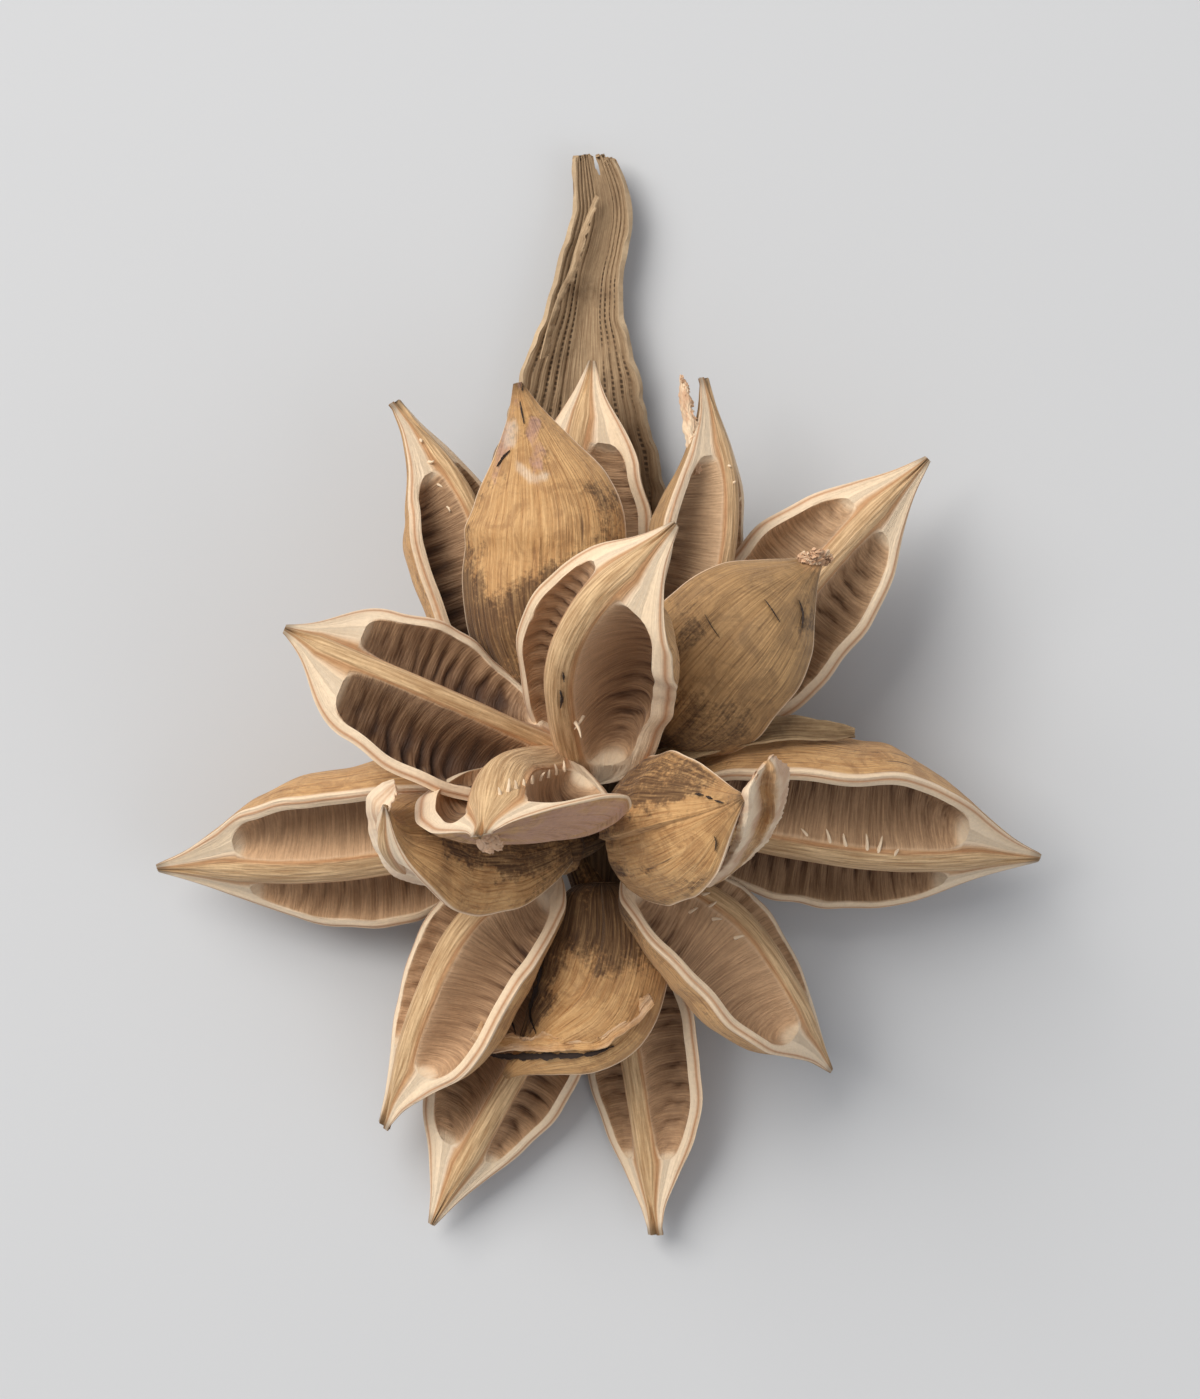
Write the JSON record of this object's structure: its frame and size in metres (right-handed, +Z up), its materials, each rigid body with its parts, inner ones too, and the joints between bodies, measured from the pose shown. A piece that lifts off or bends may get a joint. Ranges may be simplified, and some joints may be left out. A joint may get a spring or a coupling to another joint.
{
  "type": "dried seed pod cluster",
  "caption": "Star-shaped cluster of dried woody seed capsules, each split open into hollow boat-shaped valves, on a short stalk with a long ribbed bract.",
  "frame": {"origin": "middle of the cluster's outline, on the surface that it lies on", "axes": "+Z up, +Y along the stalk towards the long bract's tip, +X to the right in the picture"},
  "size_m": [0.2485, 0.3042, 0.1263],
  "materials": {
    "capsule_wood": "dry fibrous wood, pale cream rims",
    "weathered_wood": "weathered grey-brown",
    "bract_fibre": "grey-beige ribbed fibre",
    "dry_leaf": "brown papery strip"
  },
  "bodies": {
    "root": {"capsule_centre": "capsule_wood", "capsule_upper_left": "capsule_wood", "capsule_upper_right": "weathered_wood", "capsule_right": "capsule_wood", "capsule_left": "capsule_wood", "capsule_lower": "capsule_wood", "rachis": "weathered_wood", "bract": "bract_fibre", "bractlet": "dry_leaf"}
  },
  "joints": []
}
